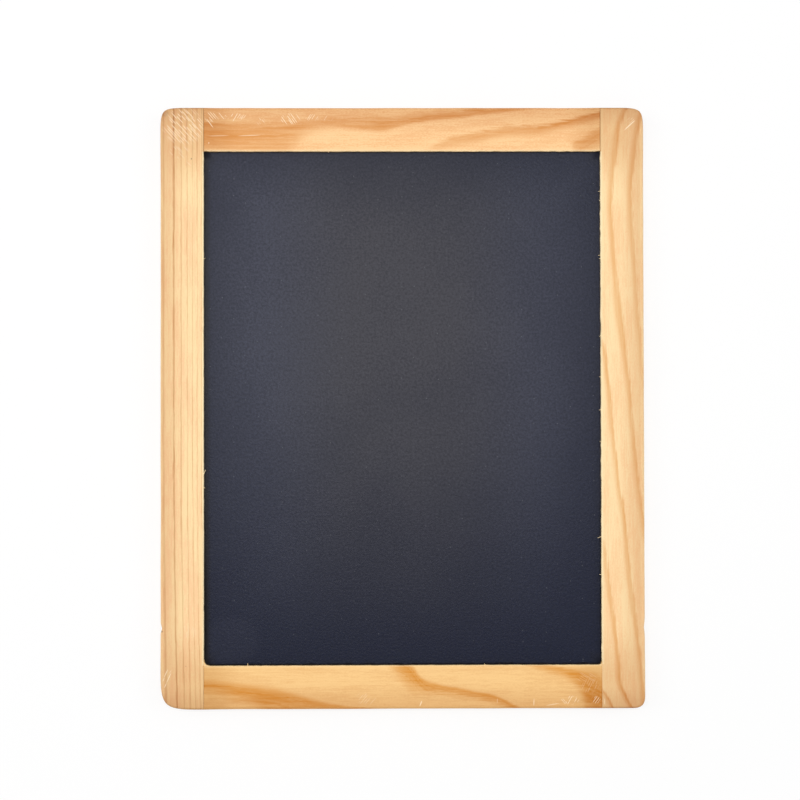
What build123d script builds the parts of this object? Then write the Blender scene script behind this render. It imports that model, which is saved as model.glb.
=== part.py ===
from build123d import *

import os

# A slate writing board: a thin slab of slate held loose in the grooves of a pine frame.
#
# The frame is two full-height stiles and two rails between them. Each corner is an open
# mortise and tenon: the end of the stile is slotted right through, and the rail's tenon
# fills the slot and shows on the board's side and end. One groove runs along the inner
# edge of every bar, in line with the slots, and takes the edge of the slate. The frame is
# sanded after it is glued, so the rounded corners and eased edges run across the joints.
#
# The board lies on its back: X to the right, Y up the writing face, Z out of it, with the
# origin at the middle of the back.

# The frame, in millimetres
board_width = 201.2
board_height = 250.0
frame_thickness = 9.0
stile_width = 18.0
rail_width = 18.2

# The slate and the groove that holds it
slate_thickness = 3.5
groove_depth = 6.0
groove_play = 0.3
slate_edge_gap = 0.6
slate_chamfer = 0.4

# The corner joints
glue_line = 0.05
shoulder_ease = 0.2

# The sanding: each corner is rounded by hand, so no two are alike. The rounding starts at its reach from the
# corner, along both edges, and its middle lies in from both edges by its cut
top_left_reach = 9.5
top_left_cut = 1.5
top_right_reach = 9.0
top_right_cut = 1.5
bottom_left_reach = 14.0
bottom_left_cut = 2.45
bottom_right_reach = 5.0
bottom_right_cut = 1.2
outer_arris_radius = 1.2
inner_arris_radius = 0.6

# What follows from them
opening_width = board_width - 2 * stile_width
opening_height = board_height - 2 * rail_width
groove_width = slate_thickness + groove_play
cheek_thickness = (frame_thickness - groove_width) / 2
tenon_width = rail_width - groove_depth - glue_line
tenon_thickness = groove_width - 2 * glue_line
slot_depth = rail_width - groove_depth
slate_width = opening_width + 2 * (groove_depth - slate_edge_gap)
slate_height = opening_height + 2 * (groove_depth - slate_edge_gap)

LEFT, RIGHT = -1, 1
BOTTOM, TOP = -1, 1
ON_BACK = (Align.CENTER, Align.CENTER, Align.MIN)


def block(width, height, thickness, x=0.0, y=0.0, z=0.0):
    """A square-edged block centred on x and y, standing on z."""
    return Pos(x, y, z) * Box(width, height, thickness, align=ON_BACK)


def rounded_corner(side, end, reach, cut):
    """The curve round one corner of the outline, from the board's side to its end."""
    corner = Vector(side * board_width / 2, end * board_height / 2)
    on_side = corner - Vector(0, end * reach)
    on_end = corner - Vector(side * reach, 0)
    pull = reach / (2 * cut) - 1
    return Bezier(on_side, corner, on_end, weights=[1, pull, 1])


def rounded_outline():
    """The board's outline: four straight edges, with each corner rounded its own way."""
    top_left = rounded_corner(LEFT, TOP, top_left_reach, top_left_cut)
    top_right = rounded_corner(RIGHT, TOP, top_right_reach, top_right_cut)
    bottom_left = rounded_corner(LEFT, BOTTOM, bottom_left_reach, bottom_left_cut)
    bottom_right = rounded_corner(RIGHT, BOTTOM, bottom_right_reach, bottom_right_cut)
    edges = [
        Line(bottom_left @ 0, top_left @ 0),
        top_left,
        Line(top_left @ 1, top_right @ 1),
        top_right,
        Line(top_right @ 0, bottom_right @ 0),
        bottom_right,
        Line(bottom_right @ 1, bottom_left @ 1),
        bottom_left,
    ]
    return make_face(edges)


def sanded_frame():
    """The frame as one ring after sanding. Every bar is trimmed to it."""
    ring = extrude(rounded_outline(), frame_thickness)
    faces = ring.faces().sort_by(Axis.Z)
    ring = fillet(faces[0].edges() + faces[-1].edges(), outer_arris_radius)
    ring -= block(opening_width, opening_height, frame_thickness)
    faces = ring.faces().sort_by(Axis.Z)
    lips = faces[0].inner_wires().edges() + faces[-1].inner_wires().edges()
    return fillet(lips, inner_arris_radius)


def stile(side, ring):
    """A full-height bar with a slot through each end and the groove along its inner edge."""
    centre = side * (board_width - stile_width) / 2
    inner_edge = side * opening_width / 2
    bar = block(stile_width, board_height, frame_thickness, x=centre)
    bar -= block(
        groove_depth, board_height, groove_width, x=inner_edge + side * groove_depth / 2, z=cheek_thickness
    )
    for end in (BOTTOM, TOP):
        slot_centre = end * (board_height - slot_depth) / 2
        bar -= block(stile_width, slot_depth, groove_width, x=centre, y=slot_centre, z=cheek_thickness)
    return bar & ring


def rail(end, ring):
    """A bar between the stiles, with a tenon at each end and the groove along its inner edge."""
    centre = end * (board_height - rail_width) / 2
    inner_edge = end * opening_height / 2
    body = block(opening_width, rail_width, frame_thickness, y=centre)
    body = chamfer(body.edges().filter_by(Axis.Y), shoulder_ease)
    body -= block(
        opening_width, groove_depth, groove_width, y=inner_edge + end * groove_depth / 2, z=cheek_thickness
    )
    tenon_centre = end * (board_height - tenon_width) / 2
    tenons = block(board_width, tenon_width, tenon_thickness, y=tenon_centre, z=cheek_thickness + glue_line)
    return (body + tenons) & ring


def slate():
    """The writing slab, resting on the back cheek of the groove, with its edges dressed."""
    slab = block(slate_width, slate_height, slate_thickness, z=cheek_thickness)
    rims = slab.faces().sort_by(Axis.Z)
    return chamfer(rims[0].edges() + rims[-1].edges(), slate_chamfer)


def main():
    ring = sanded_frame()
    pieces = {
        "left_stile": stile(LEFT, ring),
        "right_stile": stile(RIGHT, ring),
        "top_rail": rail(TOP, ring),
        "bottom_rail": rail(BOTTOM, ring),
        "slate_panel": slate(),
    }
    os.makedirs("parts", exist_ok=True)
    for name, piece in pieces.items():
        piece.label = name
        export_step(piece, f"parts/{name}.step")


main()
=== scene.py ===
import math

import bmesh
import bpy
from mathutils import Matrix, Vector


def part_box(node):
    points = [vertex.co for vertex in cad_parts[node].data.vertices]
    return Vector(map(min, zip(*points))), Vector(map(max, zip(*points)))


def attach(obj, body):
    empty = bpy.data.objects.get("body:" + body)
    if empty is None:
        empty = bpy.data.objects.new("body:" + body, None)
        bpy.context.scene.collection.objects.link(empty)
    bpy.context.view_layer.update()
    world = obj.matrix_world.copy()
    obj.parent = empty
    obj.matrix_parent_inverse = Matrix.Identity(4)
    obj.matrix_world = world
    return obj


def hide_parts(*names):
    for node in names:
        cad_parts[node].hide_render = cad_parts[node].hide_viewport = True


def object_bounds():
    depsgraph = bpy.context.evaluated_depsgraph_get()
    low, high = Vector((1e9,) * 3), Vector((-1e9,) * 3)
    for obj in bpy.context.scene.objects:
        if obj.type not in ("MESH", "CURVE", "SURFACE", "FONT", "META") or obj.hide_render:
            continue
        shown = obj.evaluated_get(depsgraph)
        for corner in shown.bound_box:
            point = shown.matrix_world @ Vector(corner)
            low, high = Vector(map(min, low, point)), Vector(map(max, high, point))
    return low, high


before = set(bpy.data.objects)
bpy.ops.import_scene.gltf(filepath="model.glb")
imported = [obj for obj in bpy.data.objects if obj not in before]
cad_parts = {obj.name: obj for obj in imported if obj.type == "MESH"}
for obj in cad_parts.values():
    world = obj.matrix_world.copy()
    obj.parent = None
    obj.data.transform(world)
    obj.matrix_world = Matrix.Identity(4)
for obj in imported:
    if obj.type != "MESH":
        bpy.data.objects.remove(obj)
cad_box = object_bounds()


def by_bar(left, right, top, bottom):
    """One value for each bar of the frame."""
    return {"left_stile": left, "right_stile": right, "top_rail": top, "bottom_rail": bottom}


# Measures of the board, read from the frame
MM = 0.001
HALF_WIDTH, HALF_HEIGHT, THICKNESS = cad_box[1]
OPENING_HALF_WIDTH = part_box("right_stile")[0][0]
OPENING_HALF_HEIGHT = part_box("top_rail")[0][1]
SLATE_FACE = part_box("slate_panel")[1][2]

# Where each bar's grain runs: the turn and scale that give its own coordinates, which are along the
# bar, in from its outer edge, and down from the front face
LYING = 0.0
UPRIGHT = -math.pi / 2
GRAIN_SPACE = by_bar(
    left={"turn": UPRIGHT, "scale": (-1, 1, -1)},
    right={"turn": UPRIGHT, "scale": (1, 1, -1)},
    top={"turn": LYING, "scale": (1, -1, -1)},
    bottom={"turn": LYING, "scale": (1, 1, -1)},
)

# The direction from each bar's outer edge to the slate
INWARD = by_bar(
    left=Vector((1, 0, 0)),
    right=Vector((-1, 0, 0)),
    top=Vector((0, -1, 0)),
    bottom=Vector((0, 1, 0)),
)

# What counts as one place, one vertex, one flat face, a soft edge, and a face that points one way
NEAR = 0.01 * MM
ONE_VERTEX = 0.001 * MM
FLAT_ANGLE = math.radians(0.5)
SOFT_EDGE_ANGLE = math.radians(35)
FACING = 0.9

# Handwork on the bars. The plain length of a bar, between its joints, is cut into this many stations
STATIONS = 260
JOINT_MARGIN = 0.8 * MM

# The outer edge wanders, at a level that keeps most of it inside the board's outline
EDGE_BAND = 1.3 * MM
EDGE_WANDER = 0.2 * MM
EDGE_WANDER_LENGTH = 22.0 * MM
EDGE_WANDER_LEVEL = 0.12
EDGE_RUN_IN = 5.0 * MM

# The inner lip is rough from the saw. The lower its level, the further it stands out over the slate
LIP_BAND = 0.7 * MM
LIP_WALL = 2.7 * MM
LIP_ROUGHNESS = by_bar(left=0.3 * MM, right=0.55 * MM, top=0.3 * MM, bottom=0.3 * MM)
LIP_ROUGHNESS_LENGTH = 1.1 * MM
LIP_LEVEL = by_bar(left=0.3, right=0.25, top=-0.1, bottom=0.5)
LIP_RUN_IN = 1.5 * MM

# Nicks in the outer edges, in millimetres: place along the bar, half length and depth
NICKS = {
    "left_stile": [(-91.6, 2.4, 0.55)],
    "right_stile": [(-91.2, 3.6, 0.4)],
    "top_rail": [],
    "bottom_rail": [],
}

# Wood fibres raised along the inner lips, in millimetres: bar, place along it, length, and lean in
# degrees. A fibre is made in steps that taper and droop
FIBRES = [
    ("right_stile", 90.2, 0.8, 20), ("right_stile", 86.0, 0.6, -30), ("right_stile", 63.4, 0.8, 10),
    ("right_stile", 61.8, 0.6, -15), ("right_stile", 29.9, 0.7, 35), ("right_stile", 12.6, 0.6, -10),
    ("right_stile", -0.8, 0.8, 25), ("right_stile", -14.0, 0.6, 30), ("right_stile", -53.6, 1.7, 23),
    ("right_stile", -69.4, 0.9, 5), ("left_stile", -27.4, 1.8, 66), ("left_stile", -33.0, 0.6, -20),
    ("left_stile", 62.0, 0.6, 15), ("bottom_rail", -64.4, 0.9, 0), ("bottom_rail", 34.0, 0.5, 25),
    ("top_rail", -30.5, 0.5, -20),
]
FIBRE_THICKNESS = 0.24 * MM
FIBRE_HEIGHT = 8.7 * MM
FIBRE_ROOT = 0.3 * MM
FIBRE_SIDES = 8
FIBRE_STEPS = 3
FIBRE_TAPER = 0.8
FIBRE_DROOP = 0.04

# Webs of wood left in the lower inner corners: side of the board and size. The hollow of a web, and
# where its free side starts, are shares of its size
CORNER_WEBS = [(-1, 2.4 * MM), (1, 1.35 * MM)]
WEB_TOP = 8.7 * MM
WEB_ROOT = 0.15 * MM
WEB_HOLLOW = 0.97
WEB_HOLLOW_STEPS = 10
WEB_HOLLOW_PROFILE = 0.08
WEB_FREE_SIDE = 0.3
WEB_ARRIS = 0.12 * MM
WEB_ARRIS_STEPS = 2

# Growth bands of the flat-sawn rails, in millimetres. Each row is a place along the rail, where the
# band's sharp edge lies there, measured from the rail's outer edge, how far it takes to fade, which is
# towards that edge where it is negative, and how dark it is
TOP_RAIL_BANDS = [
    [(-82, 4.6, 15.0, 1.25), (-71, 5.8, 15.5, 1.10), (-59, 5.6, 19.0, 0.98), (-52, 5.4, 20.0, 0.95),
     (-46, 5.2, 15.0, 0.90), (-37, 4.9, 6.5, 0.70), (-28, 4.6, 5.0, 0.45), (-20, 4.6, 4.0, 0.0),
     (82, 4.6, 4.0, 0.0)],
    [(-82, 9.6, -4.5, 0.0), (-46, 9.6, -4.5, 0.0), (-36, 8.8, -5.4, 0.60), (-28, 8.4, -5.2, 0.85),
     (-20, 9.0, -6.0, 0.95), (-14, 9.6, -6.6, 1.05), (-8, 9.8, -7.0, 1.25), (-3, 8.8, -6.2, 1.10),
     (2, 7.4, -5.2, 1.0), (9, 6.2, -4.8, 1.10), (16, 5.2, -4.6, 1.15), (24, 4.7, -4.4, 1.15),
     (30, 3.4, -4.0, 1.1), (36, 2.8, -3.6, 1.0), (46, 1.7, -3.4, 0.9), (54, 0.8, -3.0, 0.6),
     (66, -0.6, -3.0, 0.4), (82, -2.0, -3.0, 0.0)],
    [(-82, 17.0, 4.0, 0.0), (8, 17.0, 4.0, 0.0), (14, 14.8, 4.6, 0.45), (20, 12.6, 5.2, 0.72),
     (26, 11.2, 5.4, 0.85), (32, 10.2, 5.2, 0.85), (38, 9.0, 5.0, 0.80), (45, 7.9, 5.0, 0.85),
     (53, 7.3, 5.4, 0.92), (60, 6.7, 5.0, 1.05), (66, 5.6, 4.4, 1.10), (72, 4.3, 4.2, 1.15),
     (77, 3.0, 4.2, 1.20), (82, 1.6, 4.2, 1.25)],
    [(-82, 14.4, 6.0, 0.0), (69, 14.4, 6.0, 0.0), (72, 13.6, 7.0, 0.75), (75, 12.5, 8.0, 0.95),
     (78, 10.8, 8.0, 0.95), (82, 8.6, 7.6, 0.95)],
]
BOTTOM_RAIL_BANDS = [
    [(-82, 12.4, -7.0, 1.0), (-75, 11.7, -7.4, 0.98), (-69, 10.9, -8.4, 0.98), (-63, 10.2, -9.6, 1.05),
     (-57, 9.4, -12.0, 1.15), (-50, 8.2, -11.5, 1.10), (-44, 6.4, -8.5, 1.05), (-36, 4.0, -4.8, 1.0),
     (-30, 2.6, -3.5, 0.95), (-23, 1.4, -2.6, 0.90), (-16, 0.9, -2.0, 0.80), (-8, 0.0, -2.0, 0.30),
     (4, -2.0, -3.0, 0.0), (82, -2.0, -3.0, 0.0)],
    [(-82, 7.0, -3.0, 0.0), (-68, 7.6, -3.0, 0.0), (-62, 7.6, -4.2, 0.80), (-56, 6.9, -4.8, 1.30),
     (-50, 5.6, -4.4, 1.10), (-42, 4.0, -3.4, 0.70), (-32, 2.4, -2.4, 0.50), (-24, 1.2, -2.0, 0.0),
     (82, 1.2, -3.0, 0.0)],
    [(-82, 27.0, -5.0, 0.0), (-12, 27.0, -6.0, 0.0), (-5, 24.0, -9.0, 0.50), (-1, 22.0, -11.0, 0.95),
     (2.5, 19.6, -12.0, 1.10), (4.5, 17.4, -11.0, 1.10), (6.5, 14.4, -8.4, 1.05), (9, 12.2, -6.6, 1.0),
     (12, 11.2, -5.8, 0.95), (17, 10.0, -4.8, 0.95), (24, 8.5, -4.4, 1.0), (30, 7.4, -4.2, 1.0),
     (35, 6.5, -4.2, 1.0), (41, 4.4, -3.6, 1.0), (46, 1.6, -3.0, 0.95), (52, -0.8, -3.0, 0.60),
     (60, -3.0, -3.0, 0.0), (82, -4.0, -3.0, 0.0)],
    [(-82, 19.8, -2.4, 0.0), (46, 19.8, -2.4, 0.0), (53, 19.2, -2.8, 0.45), (58, 18.6, -3.4, 0.75),
     (63, 17.9, -4.2, 0.88), (68, 17.2, -5.6, 0.95), (72, 16.8, -9.0, 1.0), (75, 16.2, -16.0, 1.08),
     (78, 15.2, -24.0, 1.12), (82, 13.0, -25.0, 1.15)],
]

# Growth lines of the right stile, which slant across it, in the same terms as the rails' bands
RIGHT_STILE_BANDS = [
    [(-125, -3.0, 2.4, 0.0), (0, -1.0, 2.4, 0.2), (14, 0.1, 2.4, 0.45), (30, 1.3, 2.4, 0.60),
     (42, 2.3, 2.4, 0.65), (55, 2.9, 2.4, 0.65), (68, 3.9, 2.6, 0.65), (76, 4.5, 2.6, 0.70),
     (89, 4.8, 2.6, 0.72), (101, 3.9, 2.6, 0.72), (113, 2.3, 2.6, 0.75), (121, 0.4, 2.6, 0.75),
     (125, -1.0, 2.6, 0.7)],
    [(-125, -6.0, 2.4, 0.0), (-60, -1.5, 2.4, 0.3), (-53, -0.3, 2.4, 0.55), (-42, 0.9, 2.4, 0.70),
     (-32, 2.1, 2.4, 0.75), (-20, 3.4, 2.4, 0.75), (-7, 4.5, 2.4, 0.75), (5, 5.4, 2.4, 0.75),
     (18, 6.5, 2.8, 0.80), (30, 7.9, 3.6, 0.85), (42, 9.4, 3.6, 0.85), (55, 11.0, 2.8, 0.80),
     (64, 11.8, 2.8, 0.80), (76, 12.5, 2.8, 0.85), (84, 12.9, 2.8, 0.85), (93, 12.5, 3.0, 0.80),
     (101, 11.8, 3.2, 0.78), (109, 10.6, 3.4, 0.82), (116, 9.7, 3.2, 0.82), (121, 8.1, 2.8, 0.80),
     (125, 6.2, 2.6, 0.80)],
    [(-125, -0.2, 2.4, 0.6), (-115, 0.7, 2.4, 0.75), (-107, 1.4, 2.4, 0.75), (-99, 2.2, 2.4, 0.75),
     (-90, 3.3, 2.4, 0.70), (-78, 4.8, 2.4, 0.75), (-65, 6.3, 2.4, 0.75), (-53, 7.3, 2.4, 0.80),
     (-41, 8.8, 2.4, 0.80), (-32, 10.2, 2.4, 0.75), (-24, 11.2, 2.4, 0.75), (-15, 12.1, 2.4, 0.75),
     (-7, 12.9, 2.4, 0.80), (1, 13.5, 2.4, 0.80), (9, 14.2, 2.4, 0.85), (18, 15.1, 2.6, 0.85),
     (26, 16.7, 2.6, 0.70), (32, 18.6, 2.4, 0.0), (125, 20.0, 2.4, 0.0)],
    [(-125, 4.6, 2.4, 1.10), (-119.4, 7.8, 2.6, 1.05), (-113.6, 9.7, 2.8, 1.0), (-107, 10.3, 2.6, 0.90),
     (-99, 11.1, 2.4, 0.80), (-90, 12.3, 2.4, 0.75), (-82, 13.3, 2.4, 0.75), (-74, 14.4, 2.4, 0.70),
     (-65, 15.4, 2.4, 0.65), (-57, 16.5, 2.4, 0.50), (-50, 18.6, 2.4, 0.0), (125, 20.0, 2.4, 0.0)],
    [(-125, 12.8, 2.4, 1.0), (-121, 14.8, 2.4, 0.9), (-118, 16.6, 2.4, 0.8), (-114, 19.0, 2.4, 0.0),
     (125, 20.0, 2.4, 0.0)],
]

GROWTH_BANDS = {
    "right_stile": RIGHT_STILE_BANDS,
    "top_rail": TOP_RAIL_BANDS,
    "bottom_rail": BOTTOM_RAIL_BANDS,
}

# From here on a fade has its start, its end, and its values before and after. With a start and an end
# only, it rises from 0 to 1 or takes its values by bar. A spread noise has its low and high value

# How a growth band is drawn: the limits of its rows, its two edges, and the fine lines in it
BAND_SPAN = 30.0
BAND_DARKEST = 1.5
BAND_EDGE = (-0.15, 0.25)
BAND_FADE = (0.3, 1.2, 1.0, 0.0)
BAND_LINE_STRETCH = 0.035
BAND_LINES = (0.66, 1.0)

# Growth lines of the left stile, in millimetres: where the first lies, how close they are there, how
# much closer they get across the bar, and how they drift at its foot
FIRST_LINE = 1.5
LINE_CLOSENESS = 0.176
LINE_GATHERING = 0.0131
FOOT_DRIFT = 0.000087
LINE_RISE = 0.24
LINE_FALL = 0.07
STRONGEST_LINE = 1.0
OTHER_LINES = (0.3, 1.0, 1.05, 0.6)
DARKER_ENDS = (60.0, 115.0, 1.0, 1.08)
LINE_BREAK_STRETCH = 0.03
LINE_BREAK_DETAIL = 1.0
LINE_BREAKS = (0.3, 0.65, 0.6, 1.0)

# Patterns in the pine: waves to a millimetre along the grain, across it and down, detail and roughness
PINE_PATTERNS = {
    "waver": ((0.05, 0.2, 0.2), 3.0, 0.5),
    "streak": ((0.016, 0.8, 0.8), 3.0, 0.6),
    "fibre": ((0.11, 3.2, 3.2), 2.0, 0.6),
    "fleck": ((0.22, 1.8, 1.8), 1.0, 0.5),
    "fuzz": ((1.1, 2.6, 2.6), 1.0, 0.5),
    "patch": ((0.03, 0.13, 0.13), 2.0, 0.5),
}
NOISE_RANGE = (0.3, 0.7)

# How far the growth lines waver on each bar, in millimetres, and the share that follows the streaks
WAVER = by_bar(left=0.7, right=1.2, top=1.5, bottom=1.5)
STREAK_WAVER = 0.3

# How far the fibres feather the edges of the growth lines on each bar, in millimetres
FEATHERING = by_bar(left=0.12, right=0.4, top=0.5, bottom=0.5)

# How far the growth lines lean with the depth, and how much darker they are in a streak
LINE_LEAN = 0.35
STREAK_DARKNESS = (0.0, 1.0, 0.8, 1.05)

# Pine colours in sRGB: the early wood, its streaks, and the late wood
PINE_TONES = {
    "left_stile": ((0.995, 0.872, 0.660), (0.980, 0.800, 0.602), (0.800, 0.570, 0.345)),
    "right_stile": ((0.995, 0.872, 0.668), (0.980, 0.806, 0.600), (0.890, 0.645, 0.365)),
    "top_rail": ((0.990, 0.812, 0.590), (0.952, 0.732, 0.505), (0.856, 0.572, 0.285)),
    "bottom_rail": ((0.978, 0.800, 0.542), (0.936, 0.738, 0.482), (0.850, 0.556, 0.172)),
}

# How much each pattern of the pine adds to its streaks, the fuzz of the sanded face by bar
STREAK_TONE = 0.35
PATCH_TONE = 0.45
FIBRE_TONE = 0.18
FLECK_TONE = 0.3
FUZZ_TONE = by_bar(left=0.25, right=0.3, top=0.5, bottom=0.3)
# A painted highlight along the inner arris, which lowers the tone there so the pine is paler
INNER_ARRIS_HIGHLIGHT = (16.2, 17.6, 0.0, -0.3)
TONE_RANGE = (0.1, 0.95)

# The pine is darker towards the outer edges and the ends, in millimetres from the outer edge, the bar's
# middle or its end.
# On the outermost arris the darkening is painted shade, its share set per bar by where the light falls
WHITE = (1.0, 1.0, 1.0, 1.0)
OUTER_DARKENING_TINT = (0.83, 0.75, 0.69, 1.0)
OUTER_EDGE_DARKENING = (0.0, 13.0, 1.0, 0.0)
ARRIS_SHADE_BAND = (0.2, 2.0)
ARRIS_PAINTED_SHADE = by_bar(left=0.5, right=0.2, top=1.0, bottom=1.0)
STILE_END_TINT = (0.84, 0.75, 0.67, 1.0)
STILE_END = (88.0, 114.0)
STILE_END_ACROSS = (2.0, 11.0, 0.5, 1.0)
STILE_TIP = (114.0, 126.0)
RAIL_END_TINT = (0.86, 0.81, 0.73, 1.0)
RAIL_END = (66.0, 82.0)
END_GRAIN_TINT = (0.80, 0.70, 0.58, 1.0)
END_GRAIN = (0.2, 0.9, 1.0, 0.0)

# The stain in the joints, in millimetres from the joint line, and its share at a bar's two ends
JOINT_STAIN = (0.54, 0.32, 0.10)
STAIN_WIDTH = (0.1, 0.5, 1.0, 0.0)
STAIN_START = (-0.2, 0.2, 1.0, 0.0)
STAIN_ENDS = (-10.0, 10.0)
STAIN_SHARE = by_bar(left=(0.28, 0.28), right=(0.0, 0.28), top=(0.4, 0.4), bottom=(0.0, 0.0))

# A painted highlight on the inner lip and painted shade on its wall below, in millimetres from the lip,
# the joint and the nearer face
LIP_HIGHLIGHT = (1.0, 0.93, 0.76)
LIP_HIGHLIGHT_BAND = (0.2, 0.8)
LIP_HIGHLIGHT_SHARE = by_bar(left=0.9, right=0.75, top=0.5, bottom=0.4)
LIP_HIGHLIGHT_PATCHES = (0.0, 1.0, 1.0, 0.6)
LIP_END = (0.0, 0.4)
LIP_WALL_SHADE = (0.20, 0.16, 0.12)
WALL_SHADE_BAND = (0.2, 0.4, 0.85, 0.0)
WALL_SHADE_DEPTH = (0.45, 0.7)

# Patches of painted glints, pale strokes over the varnish, in millimetres: middle x and y, half width and
# half height of the patch, the direction of its strokes in degrees, and how pale they are
GLINT_PATCHES = {
    "left_stile": [(-91.0, 117.0, 10.0, 9.0, -48, 1.0), (-92.5, 106.5, 5.0, 3.5, -48, 0.6),
                   (-89.0, -92.8, 4.5, 3.0, 84, 0.4)],
    "right_stile": [(95.5, 119.5, 2.0, 1.6, 43, 0.4)],
    "top_rail": [(-79.6, 121.0, 3.0, 2.6, -50, 0.85), (-75.2, 121.4, 2.6, 1.9, -50, 0.8),
                 (-69.4, 120.9, 3.8, 2.0, 60, 1.0), (-67.0, 121.3, 2.6, 1.2, 52, 0.7),
                 (-58.7, 119.2, 2.0, 2.0, -55, 0.6), (-46.6, 120.2, 5.0, 2.7, -55, 1.0),
                 (-37.6, 120.8, 3.4, 1.7, 58, 0.7), (-31.0, 120.4, 2.6, 1.5, 58, 0.4)],
    "bottom_rail": [(-16.4, -120.4, 3.4, 3.0, 50, 0.4), (69.8, -121.5, 3.6, 2.3, 60, 0.9),
                    (66.8, -121.9, 2.2, 1.4, -50, 0.6), (80.0, -121.3, 2.2, 1.8, 55, 0.7),
                    (77.5, -115.4, 4.5, 4.0, 64, 0.25), (76.0, -112.0, 5.0, 3.0, -32, 0.22)],
}

# The painted glints' strokes lie side by side in lanes, in millimetres, and break off along them
GLINT_LANE = 0.8
LANE_MIDDLE = 0.5
LANE_SWAY = 0.5
LANE_STEP = 7.3
GLINT_STROKE = (0.06, 0.2, 1.0, 0.0)
GLINT_STRETCH = 0.25
GLINT_BREAKS = (0.42, 0.52)

# Single painted glints, pale streaks, in millimetres: middle x and y, half length, half width, direction
# in degrees, and how pale they are
GLINT_STREAKS = {
    "left_stile": [(-98.2, -109.8, 2.2, 0.2, 64, 0.8), (-96.9, -111.4, 2.4, 0.2, 64, 0.9),
                   (-98.4, -114.8, 1.4, 0.2, 66, 0.7), (-97.6, -112.9, 1.2, 0.2, 60, 0.6),
                   (-99.2, -112.4, 1.2, 0.2, 66, 0.6), (-96.4, -109.2, 1.0, 0.2, 58, 0.5),
                   (-88.6, 101.5, 1.5, 0.2, -48, 0.5)],
    "right_stile": [(94.8, 117.5, 3.6, 0.3, 43, 0.9), (83.6, -122.0, 1.6, 0.25, 88, 0.5)],
    "top_rail": [(-79.9, 118.4, 2.8, 0.22, -54, 0.85), (-76.3, 113.2, 5.0, 0.2, 1, 0.5),
                 (-63.6, 113.3, 5.6, 0.2, 2, 0.75), (-80.4, 110.2, 0.4, 0.3, 70, 0.7)],
    "bottom_rail": [(7.3, -122.6, 1.5, 0.3, 68, 0.8), (54.2, -122.2, 1.8, 0.25, 88, 0.7),
                    (62.0, -123.2, 3.4, 0.25, 9, 0.5), (-12.6, -121.6, 2.4, 0.25, 48, 0.25),
                    (39.0, -121.6, 1.2, 0.2, 88, 0.4)],
}

# Small dark marks on the front, in millimetres: x, y, radius and how dark they are
# The largest left-stile mark is a soft darkening at the top-left corner
SPECKS = {
    "left_stile": [(-87.6, 103.6, 0.35, 0.6), (-90.0, -107.0, 0.3, 0.25), (-99.9, -92.6, 0.5, 0.5),
                   (-98.6, 122.6, 1.8, 0.2)],
    "right_stile": [],
    "top_rail": [(-80.8, 106.6, 0.3, 0.4)],
    "bottom_rail": [],
}

# Marks keep to the front face and let a little of the pine through
PAINTED_GLINT = (1.0, 0.905, 0.765)
DARK_SPECK = (0.36, 0.27, 0.20)
FRONT_DEPTH = (1.5, 2.5, 1.0, 0.0)
PATCH_EDGE = (0.6, 1.0, 1.0, 0.0)
MARK_COVER = 0.85

# The pine's satin varnish and the relief of its grain
VARNISH_ROUGHNESS = (0.0, 1.0, 0.42, 0.56)
VARNISH_GLOSS = 0.2
LATE_WOOD_RISE = 0.6
PINE_RELIEF = 0.08 * MM
PINE_RELIEF_STRENGTH = 0.25

# Slate colours in sRGB, and the finish of its honed face
SLATE_BLUE = (0.042, 0.066, 0.148)
# The two haze colours paint a sheen, partly a haze of wiped chalk, for the middle and the sides
MIDDLE_SHEEN_AND_CHALK = (0.199, 0.197, 0.228)
SIDE_SHEEN_AND_CHALK = (0.190, 0.199, 0.256)
SLATE_SPECK = (0.55, 0.56, 0.58)
# The colour of the painted shade in the slate's margins
SLATE_MARGIN_SHADE = (0.06, 0.05, 0.05)
SLATE_ROUGHNESS = (0.385, 0.345)
SLATE_GLOSS = 0.12
GRIT_DETAIL = 3.0
GRIT_ROUGHNESS = 0.75
GRIT_SHADE = (0.25, 0.75, 0.78, 1.3)
GRIT_RELIEF = 0.09 * MM
GRIT_RELIEF_STRENGTH = 1.0
SPECK_WAVES = 0.2
SPECK_SIZE = (0.015, 0.06, 1.0, 0.0)
SPECK_BRIGHTNESS = (0.7, 1.0, 0.0, 0.24)

# A painted sheen, partly a haze of wiped chalk, in millimetres from the frame and on the board. The smudge
# has its middle x and y, half width and half height
HAZE_FROM_FRAME = (-20.0, 36.0)
HAZE_UPWARDS = (-130.0, 25.0, 0.06, 1.0)
HAZE_TO_THE_RIGHT = (-80.0, 60.0, 1.24, 0.97)
HAZE_CLOUD_WAVES = 0.025
HAZE_CLOUD_DETAIL = 3.0
HAZE_CLOUDS = (0.75, 1.0)
HAZE_GRIT = (0.9, 1.1)
BLUER_SIDES = (15.0, 65.0)
SLATE_SMUDGE = (-71.4, -96.6, 14.0, 12.0)
SMUDGE_HAZE = 0.16

# Margins of the slate with painted shade, dull as well, in millimetres from the frame and up the board: a
# ragged rim by the frame, a painted shadow of the left lip, and the corners
RIM_WAVES = 0.4
RIM_RAGGEDNESS = 1.2
RIM_WIDTH = (0.7, 1.5, 1.0, 0.0)
RIM_DARKNESS = (-100.0, 20.0, 0.9, 0.0)
LEFT_MARGIN_WIDTH = (0.6, 3.2, 1.0, 0.0)
LEFT_MARGIN_DARKNESS = (-90.0, 0.0, 1.0, 0.75)
LEFT_MARGIN_DULLNESS = (-90.0, 0.0, 0.55, 0.0)
CORNER_WIDTH = (1.0, 6.5, 1.0, 0.0)
CORNER_DARKNESS = 0.4
CORNER_DULLNESS = 0.6

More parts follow.
